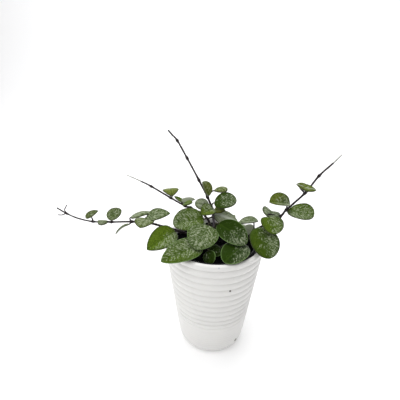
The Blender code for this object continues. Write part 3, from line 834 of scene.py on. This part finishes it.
def outline(way, point):
    """Half-width as a share of the greatest; point sharpens the tip."""
    base_power = 0.5 - 0.25 * min(point, 0.0) - 0.08 * max(point, 0.0)
    tip_power = 0.5 + 0.3 * max(point, 0.0) + 0.1 * min(point, 0.0)
    widest = base_power / (base_power + tip_power)
    return (way / widest) ** base_power * ((1 - way) / (1 - widest)) ** tip_power


def skin_height(across, out, broad, upper):
    """Height of the upper or the lower skin over the blade's middle plane, in millimetres."""
    swell = max(0.0, 1 - abs(across) ** 3) ** 0.5
    height = CUSHION / 2 * swell * min(1.0, broad * END_ROUNDING) + EDGE / 2
    if not upper:
        height = -height * UNDER_FLATNESS
    return height - MIDRIB_DEPTH * math.exp(-(out / MIDRIB_WIDTH) ** 2) * broad


print("half-width at a fifth of the way:", round(outline(0.2, 0.3), 2))

# %% [markdown]
# A blade bows along its length, folds up at its edges and ripples a little, and no two do so alike.
# Moving each point by the leaf's own values gives all of this at once. Each point also keeps what
# the leaf's finish has to know: its share of silver, its distance from the edge, its side. An
# unwrap to true millimetres lets the flecks follow the blade. A leaf's three directions are the
# mirror image of the model's, so the move turns the blade inside out and its faces are flipped.

# %% Shape of a leaf
LEAST_HALF = 0.35
RIPPLE = 0.4
RIPPLES_PER_MM = 0.13
PATTERN_STEP = 41.0
LEAF_MARKS = ("silver", "young", "rim", "under", "rim_highlight", "midline_and_sheen")


def blade_frame(leaf):
    """The blade's base, and its directions along, to the side and out of its face."""
    base = Vector(leaf.base)
    along = Vector(leaf.tip) - base
    side = along.cross(Vector(leaf.face)).normalized()
    return base, along, side, side.cross(along).normalized()


def leaf_object(leaf, number, rim_highlight):
    """A copy of the model blade, moved to one leaf's place and shape."""
    mesh = blade_model.data.copy()
    base, along, side, normal = blade_frame(leaf)
    length = along.length
    drift = number * PATTERN_STEP
    marks = {name: [] for name in LEAF_MARKS}
    flat = []
    for vertex in mesh.vertices:
        way = (1 - math.cos(math.pi * (vertex.co.x + 1) / 2)) / 2
        across = math.sin(math.pi / 2 * vertex.co.y)
        upper = vertex.co.z > 0
        broad = outline(way, leaf.point)
        half = max(leaf.width / 2 * broad, LEAST_HALF)
        out = across * half
        creased = leaf.crease * abs(across) * broad + (1 - leaf.crease) * (across * broad) ** 2
        spot = Vector((way * length * RIPPLES_PER_MM + drift, out * RIPPLES_PER_MM, 0))
        ripple = noise.noise(spot) * RIPPLE * abs(across)
        bowed = leaf.bow * 4 * way * (1 - way)
        lift = bowed + leaf.fold * creased + ripple + skin_height(across, out, broad, upper)
        back = leaf.heart * (across * broad * (1 - way)) ** 2
        vertex.co = (base + along * (way - back / length) + side * out + normal * lift) * MM
        flat.append((way * length + drift, out))
        cover = leaf.silver + leaf.to_tip * (2 * way - 1) + leaf.to_side * across
        values = (min(2.0, max(0.0, cover)), leaf.young, (1 - abs(across)) * half, 0.0 if upper else 1.0,
                  rim_highlight, leaf.midline_and_sheen)
        for name, value in zip(LEAF_MARKS, values):
            marks[name].append(value)
    mesh.flip_normals()
    for name, values in marks.items():
        mesh.attributes.new(name, "FLOAT", "POINT")
        mesh.attributes[name].data.foreach_set("value", values)
    while mesh.uv_layers:
        mesh.uv_layers.remove(mesh.uv_layers[0])
    unwrapped = mesh.uv_layers.new(name="blade")
    for loop in mesh.loops:
        unwrapped.data[loop.index].uv = flat[loop.vertex_index]
    leaf_piece = bpy.data.objects.new("leaf", mesh)
    bpy.context.scene.collection.objects.link(leaf_piece)
    return leaf_piece


print("marks kept for the finish:", len(LEAF_MARKS))

# %% [markdown]
# A stem bends softly from knot to knot. Bezier handles could do this, but a Catmull-Rom curve needs
# none: it passes through every point of the route, each with a slope taken from its neighbours. The
# foot, which stands straight in the soil, stays a straight line.

# %% A smooth route
ROUTE_STEPS = 16


def smooth_route(points, steps):
    """Points on a Catmull-Rom curve through the route, and the place of each route point in them."""
    route = [Vector(point) for point in points]
    result = [route[0], route[1]]
    marks = [0, 1]
    for i in range(1, len(route) - 1):
        before = route[i - 1] if i > 1 else route[i] - Vector((0, 0, (route[i + 1] - route[i]).length))
        start, end = route[i], route[i + 1]
        after = route[i + 2] if i + 2 < len(route) else end * 2 - start
        for step in range(1, steps + 1):
            share = step / steps
            result.append(0.5 * (
                2 * start
                + (end - before) * share
                + (2 * before - 5 * start + 4 * end - after) * share ** 2
                + (3 * start - before - 3 * end + after) * share ** 3
            ))
        marks.append(len(result) - 1)
    return result, marks


print("points along the left vine:", len(smooth_route(SHOOTS[0].route, ROUTE_STEPS)[0]))

# %% [markdown]
# Stems, stalks, twigs and threads are all round, and thinner towards their ends. A cylinder would
# have to be bent, so each is a curve with a round bevel, whose radius changes from point to point.
# It is then made a mesh, so that it can be joined with the leaves.

# %% A round tube
def tube(points, radii, roundness, material):
    """A round tube through the points, made a mesh; its radii are in millimetres."""
    curve = bpy.data.curves.new("tube", "CURVE")
    curve.dimensions = "3D"
    curve.bevel_depth = MM
    curve.bevel_resolution = roundness
    curve.use_fill_caps = True
    spline = curve.splines.new("POLY")
    spline.points.add(len(points) - 1)
    for knot, spot, radius in zip(spline.points, points, radii):
        knot.co = (*(Vector(spot) * MM), 1.0)
        knot.radius = radius
    piece = bpy.data.objects.new("tube", curve)
    bpy.context.scene.collection.objects.link(piece)
    bpy.ops.object.select_all(action="DESELECT")
    piece.select_set(True)
    bpy.context.view_layer.objects.active = piece
    bpy.ops.object.convert(target="MESH")
    piece = bpy.context.object
    piece.data.materials.clear()
    piece.data.materials.append(material)
    bpy.ops.object.shade_smooth()
    return piece


print("thickest stem:", 2 * max(shoot.thick for shoot in SHOOTS), "mm across")

# %% [markdown]
# The stems are thin, dark and woody, and swell into a knot wherever leaves grow. Knots could be
# small balls set on the stem, but they would show a seam, so the tube's own radius swells there
# and wavers a little in between. The vine to the left ends in two bare twigs, and two vines end in
# a young, pale thread.

# %% Stems with knots, twigs and threads
KNOT_SWELL = 0.75
KNOT_REACH = 1.8
WAVER = 0.12
WAVERS_PER_MM = 0.35
END_TAPER = 0.7
THREAD_RADIUS = 0.6
THREAD_TAPER = 0.2
TWIG_RADIUS = 0.7
TWIG_TAPER = 0.25


def stem_pieces(shoot, stem_material, thread_material):
    """The stem with its swellings, its twigs and its pale thread."""
    points, marks = smooth_route(shoot.route, ROUTE_STEPS)
    last = len(points) - 1
    knots = [points[marks[knot]] for knot in shoot.knots]
    radii = []
    for i, point in enumerate(points):
        radius = shoot.thin + (shoot.thick - shoot.thin) * (1 - i / last) ** 2
        near = min((point - knot).length for knot in knots)
        swelling = 1 + KNOT_SWELL * math.exp(-(near / KNOT_REACH) ** 2)
        radii.append(radius * swelling * (1 + WAVER * noise.noise(point * WAVERS_PER_MM)))
    radii[-1] *= END_TAPER
    pieces = []
    if shoot.thread:
        split = marks[-1 - shoot.thread]
        stretch = last - split
        fine = [THREAD_RADIUS - THREAD_TAPER * i / stretch for i in range(stretch + 1)]
        pieces.append(tube(points[split:], fine, 1, thread_material))
        points, radii = points[:split + 1], radii[:split + 1]
    pieces.append(tube(points, radii, 3, stem_material))
    for twig in shoot.twigs:
        bent = smooth_route((twig[0], *twig), 4)[0]
        fine = [TWIG_RADIUS - TWIG_TAPER * i / len(bent) for i in range(len(bent))]
        pieces.append(tube(bent, fine, 2, stem_material))
    return pieces


print("knots:", sum(len(shoot.knots) for shoot in SHOOTS))

# %% [markdown]
# A stalk joins each leaf to its knot. It leaves the stem, bends to the blade's own direction and
# runs a little way into the blade, so that no gap shows. Where a blade hides its own base, the
# stalk comes from underneath instead.

# %% Stalks
STALK_IN_BLADE = 2.5
UNDER_BLADE = 1.5
EARLY_BEND = 0.3
STALK_RADII = (1.0, 0.9, 0.8, 0.75, 0.72, 0.72, 0.72, 0.7, 0.5)


def stalk_piece(leaf, root, material):
    """A leaf's stalk, from its swelling on the stem into its blade."""
    base, along, side, normal = blade_frame(leaf)
    start = Vector(root)
    reach = (base - start).length
    bend = base - along.normalized() * EARLY_BEND * reach
    end = base + along.normalized() * STALK_IN_BLADE + normal * leaf.bow * 0.25
    if leaf.tuck:
        end = base + along * leaf.tuck
    if leaf.tuck or leaf.heart > 4:
        bend = end.lerp(start, 0.4) - normal * UNDER_BLADE
    points = []
    for i in range(len(STALK_RADII)):
        share = i / (len(STALK_RADII) - 1)
        first = start.lerp(bend, min(1.0, share * 1.5))
        second = bend.lerp(end, max(0.0, share * 1.5 - 0.5))
        points.append(first.lerp(second, share))
    return tube(points, STALK_RADII, 2, material)


print("points along a stalk:", len(STALK_RADII))

# %% [markdown]
# A hoya's skin is waxy, so the leaf has a soft gloss, tinted by the green below it. Its finish is
# built from maps of numbers first and coloured last. The blade's unwrap gives the distance along
# and out from the midrib in true millimetres, so the scale of each noise is a number per
# millimetre. The marks kept on its points say how silvery and how young the leaf is.

# %% Leaf skin
PATCHES_PER_MM = 0.16
CLOUDS_PER_MM = 0.42
BLOTS_PER_MM = 0.7

leaf_skin, leaf_shader = new_material("waxy_hoya_leaf")
blade_map = add_node(leaf_skin, "UVMap", uv_map="blade")
along = add_node(leaf_skin, "SeparateXYZ", {"Vector": blade_map}, "X")
sideways = add_node(leaf_skin, "SeparateXYZ", {"Vector": blade_map}, "Y")
out = add_node(leaf_skin, "Math", {0: sideways}, operation="ABSOLUTE")
mark = {}
for name in LEAF_MARKS:
    mark[name] = add_node(leaf_skin, "Attribute", None, "Fac", attribute_name=name)
patches = add_node(leaf_skin, "TexNoise", {
    "Vector": blade_map, "Scale": PATCHES_PER_MM, "Detail": 2.0})
clouds = add_node(leaf_skin, "TexNoise", {
    "Vector": blade_map, "Scale": CLOUDS_PER_MM, "Detail": 2.0})
blots = add_node(leaf_skin, "TexNoise", {
    "Vector": blade_map, "Scale": BLOTS_PER_MM, "Detail": 4.0, "Roughness": 0.7})
print("maps of the leaf:", len(leaf_skin.node_tree.nodes), "nodes")

# %% [markdown]
# Side veins leave the midrib every few millimetres and run slantwise to the edge, faint and dark.
# They could be drawn one by one, but one rule makes them all: a distance that falls as it goes out
# gives the slant, Ping-Pong repeats it, and a little noise bends it. The same slant draws out the
# noise of the flecks, which follow the veins.

# %% Veins
VEIN_PITCH = 3.6
VEIN_SLANT = -0.9
VEIN_BEND = 4.0
STREAKS_PER_MM = 0.65
STREAK_DRAW = 0.45

vein_way = add_node(leaf_skin, "Math", {0: out, 1: VEIN_SLANT, 2: along}, operation="MULTIPLY_ADD")
bent_way = add_node(leaf_skin, "Math", {0: clouds, 1: VEIN_BEND, 2: vein_way}, operation="MULTIPLY_ADD")
from_vein = add_node(leaf_skin, "Math", {0: bent_way, 1: VEIN_PITCH / 2}, operation="PINGPONG")
slow_out = add_node(leaf_skin, "Math", {0: out, 1: STREAK_DRAW}, operation="MULTIPLY")
streak_place = add_node(leaf_skin, "CombineXYZ", {"X": vein_way, "Y": slow_out})
streaks = add_node(leaf_skin, "TexNoise", {
    "Vector": streak_place, "Scale": STREAKS_PER_MM, "Detail": 3.0, "Roughness": 0.65})
fine = add_node(leaf_skin, "Mix", {0: 0.5, 2: streaks, 3: blots})
print("veins every", VEIN_PITCH, "mm")

# %% [markdown]
# The silver flecks are air that lifts the skin: blots about a millimetre across, thick on one part
# of a leaf and missing on another, over a thin milky veil. cover says how silvery a place is, from
# the leaf's own share, from broad patches and less near the edge. Where the fine noise and the
# cover together pass a threshold, there is a fleck, so flecks crowd where the cover is high.

# %% Flecks
# This darkening towards the edge is painted shade; it also thins the flecks there.
edge_shade = add_node(leaf_skin, "MapRange", {
    "Value": mark["rim"], "From Min": 0.5, "From Max": 4.0, "To Min": 0.36, "To Max": 0.0},
    interpolation_type="SMOOTHSTEP")
patched = add_node(leaf_skin, "Math", {0: patches, 1: 0.8, 2: mark["silver"]}, operation="MULTIPLY_ADD")
inner = add_node(leaf_skin, "Math", {0: edge_shade, 1: -0.5, 2: patched}, operation="MULTIPLY_ADD")
cover = add_node(leaf_skin, "Math", {0: inner, 1: 0.37}, operation="SUBTRACT")
cloudy_cover = add_node(leaf_skin, "Math", {0: clouds, 1: 0.7, 2: cover}, operation="MULTIPLY_ADD")
flecked = add_node(leaf_skin, "MapRange", {
    "Value": cloudy_cover, "From Min": 0.55, "From Max": 0.85}, interpolation_type="SMOOTHSTEP")
lifted = add_node(leaf_skin, "Math", {0: cover, 1: 0.05, 2: fine}, operation="MULTIPLY_ADD")
level = add_node(leaf_skin, "Math", {0: flecked, 1: 0.08, 2: lifted}, operation="MULTIPLY_ADD")
print("with veins and flecks:", len(leaf_skin.node_tree.nodes), "nodes")

# %% [markdown]
# The maps become masks for layers of colour. Each mask could be a curve, but a straight ramp from
# one value of its map to another does. Besides the flecks there are the milky veil round them, dark
# dots, and a pale silver where the cover is highest, partly the leaf's own and partly painted sheen.
# A dark line runs over the midrib: the plain green where the flecks stop, darkened by painted shade
# in its groove. A pale streak runs along it on a few leaves: broad on one, where it is painted sheen,
# and narrow on two small ones, where it is a pale midrib. The edge has a thin line, dark on the long
# vines, which is the leaf's own margin, and pale on the short stems, which is a painted highlight
# where light catches the blade's edge. Towards its edge the blade also darkens, which is painted
# shade.

# %% Masks for the layers
mask = {}
for name, source, start, end, at_start, at_end in (
        ("middle", mark["young"], 0.0, 0.5, 0.0, 1.0),
        ("young", mark["young"], 0.5, 1.0, 0.0, 1.0),
        ("flecks", level, 0.6, 0.705, 0.0, 0.9),
        ("veil", cloudy_cover, 0.65, 1.35, 0.0, 0.6),
        # The palest silver here is partly the leaf's own and partly painted sheen.
        ("frost_and_sheen", cloudy_cover, 1.3, 2.1, 0.0, 0.8),
        ("dark_dots", fine, 0.4, 0.5, 0.7, 0.0),
        ("vein", from_vein, 0.1, 0.5, 0.35, 0.0),
        # The midrib's dark line is the plain green where the flecks stop, darkened by painted shade in its
        # groove.
        ("midrib", out, 0.3, 1.0, 0.5, 0.0),
        # The edge line is dark on the long vines, the leaf's own margin, and pale on the short stems, a
        # painted highlight where light catches the blade's edge.
        ("edge_line", mark["rim"], 0.3, 0.9, 0.65, 0.0)):
    mask[name] = add_node(leaf_skin, "MapRange", {
        "Value": source, "From Min": start, "From Max": end, "To Min": at_start, "To Max": at_end})
# Broad, this streak is painted sheen; narrow, it is a pale midrib.
mask["streak"] = add_node(leaf_skin, "MapRange", {
    "Value": out, "From Min": 0.0, "From Max": mark["midline_and_sheen"], "To Min": 1.0, "To Max": 0.0},
    interpolation_type="SMOOTHSTEP")
print("masks:", len(mask))

# %% [markdown]
# Old leaves are a deep green and young ones a yellow green, each patchy between two tones. The
# colour is laid on as a painter would: the green first, then one layer after another, each through
# its own map, up to the plain grey-green underside. The flecks are pale, rough and slightly raised,
# so they look duller than the waxy green.

# %% Leaf colours
tones = {}
for name, pattern, under, over in (
        ("old", patches, "#142403", "#273f05"),
        ("middle", patches, "#455d0f", "#647a24"),
        ("young", patches, "#646d2d", "#7f8646"),
        ("fleck", clouds, "#87926f", "#b0b5a0"),
        # The pale edge tone is a painted highlight; the dark one is the leaf's own margin.
        ("edge", mark["rim_highlight"], "#2b2524", "#6d8a50"),
        ("underside", blots, "#666e5b", "#8a907d")):
    inputs = {MASK: pattern, UNDER: linear(under), OVER: linear(over)}
    tones[name] = add_node(leaf_skin, "Mix", inputs, MIXED, data_type="RGBA")

colour = tones["old"]
for layer, tint in (
        (mask["middle"], tones["middle"]),
        (mask["young"], tones["young"]),
        (mask["veil"], linear("#5a684e")),
        (mask["dark_dots"], linear("#1f3008")),
        (mask["flecks"], tones["fleck"]),
        (edge_shade, linear("#2a3a14")),
        (mask["vein"], linear("#2d4210")),
        (mask["frost_and_sheen"], linear("#a3ab94")),
        (mask["midrib"], linear("#31470f")),
        (mask["streak"], linear("#c2c9b9")),
        (mask["edge_line"], tones["edge"]),
        (mark["under"], tones["underside"])):
    inputs = {MASK: layer, UNDER: colour, OVER: tint}
    colour = add_node(leaf_skin, "Mix", inputs, MIXED, data_type="RGBA")

dullness = add_node(leaf_skin, "MapRange", {"Value": mask["flecks"], "To Min": 0.33, "To Max": 0.48})
height = add_node(leaf_skin, "Math", {0: mask["flecks"], 1: 0.6, 2: blots}, operation="MULTIPLY_ADD")
relief = add_node(leaf_skin, "Bump", {"Height": height, "Strength": 0.2, "Distance": 0.15 * MM})
feed(leaf_skin, leaf_shader, {
    "Base Color": colour,
    "Roughness": dullness,
    "Specular IOR Level": 0.16,
    "Specular Tint": linear("#dcecb8"),
    "Normal": relief,
})
print("leaf finish:", len(leaf_skin.node_tree.nodes), "nodes")

# %% [markdown]
# The stems have a thin woody bark, nearly black with a purple cast, and the middle vine's foot has
# aged to grey. The stalks are a brownish green, and the young threads pale grey. All are dull and
# finely ridged, so one function makes the four finishes from two tones of one noise.

# %% Bark, stalk and thread
RIDGES_PER_MM = 0.42
AGED_BELOW = 142.0
FRESH_ABOVE = 150.0
BARK_DARK = "#1f1a19"
BARK_LIGHT = "#3a3235"


def bark_material(name, dark, light, rough, foot=None):
    """A ridged bark of two tones, and of a third one at its foot if that is given."""
    material, bark_shader = new_material(name)
    place = add_node(material, "TexCoord", None, "Object")
    ridges = add_node(material, "TexNoise", {
        "Vector": place, "Scale": RIDGES_PER_MM / MM, "Detail": 4.0, "Roughness": 0.6})
    tone = add_node(material, "MapRange", {"Value": ridges, "From Min": 0.35, "From Max": 0.65})
    inputs = {MASK: tone, UNDER: linear(dark), OVER: linear(light)}
    colour = add_node(material, "Mix", inputs, MIXED, data_type="RGBA")
    if foot:
        level = add_node(material, "SeparateXYZ", {"Vector": place}, "Z")
        aged = add_node(material, "MapRange", {
            "Value": level, "From Min": AGED_BELOW * MM, "From Max": FRESH_ABOVE * MM,
            "To Min": 1.0, "To Max": 0.0})
        inputs = {MASK: aged, UNDER: colour, OVER: linear(foot)}
        colour = add_node(material, "Mix", inputs, MIXED, data_type="RGBA")
    relief = add_node(material, "Bump", {"Height": ridges, "Strength": 0.5, "Distance": 0.2 * MM})
    feed(material, bark_shader, {
        "Base Color": colour, "Roughness": rough, "Specular IOR Level": 0.2, "Normal": relief})
    return material


stem_bark = bark_material("purple_black_bark", BARK_DARK, BARK_LIGHT, 0.65)
aged_bark = bark_material("purple_black_bark_with_aged_foot", BARK_DARK, BARK_LIGHT, 0.65, "#756e74")
stalk_skin = bark_material("green_brown_stalk", "#2c2b20", "#4b4a36", 0.5)
thread_skin = bark_material("pale_young_thread", "#6c6e62", "#8c8d82", 0.6)
print("finishes:", [material.name for material in (stem_bark, aged_bark, stalk_skin, thread_skin)])

# %% [markdown]
# Each shoot is now put together. Its stem, stalks and leaves could stay apart, but they stand for
# one solid, so they are joined in one piece. On the two vines that reach far left and right the
# stalks are as dark as the stem.

# %% Growing the shoots
DARK_STALKED = ("vine_left", "vine_right")

number = 0
for shoot in SHOOTS:
    pieces = stem_pieces(shoot, aged_bark if shoot.name == "vine_top" else stem_bark, thread_skin)
    stalk_finish = stem_bark if shoot.name in DARK_STALKED else stalk_skin
    # Leaves on the short stems get the pale edge line, a painted highlight.
    rim_highlight = 1.0 if shoot in SHORT_STEMS else 0.0
    for leaf in shoot.leaves:
        pieces.append(stalk_piece(leaf, shoot.route[leaf.node], stalk_finish))
        blade = leaf_object(leaf, number, rim_highlight)
        blade.data.materials.append(leaf_skin)
        pieces.append(blade)
        number += 1
    grown = join(pieces)
    grown.name = "hoya_" + shoot.name
    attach(grown, "root")
    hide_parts(shoot.name)
    print(grown.name, len(grown.data.polygons), "faces")
bpy.data.objects.remove(blade_model, do_unlink=True)
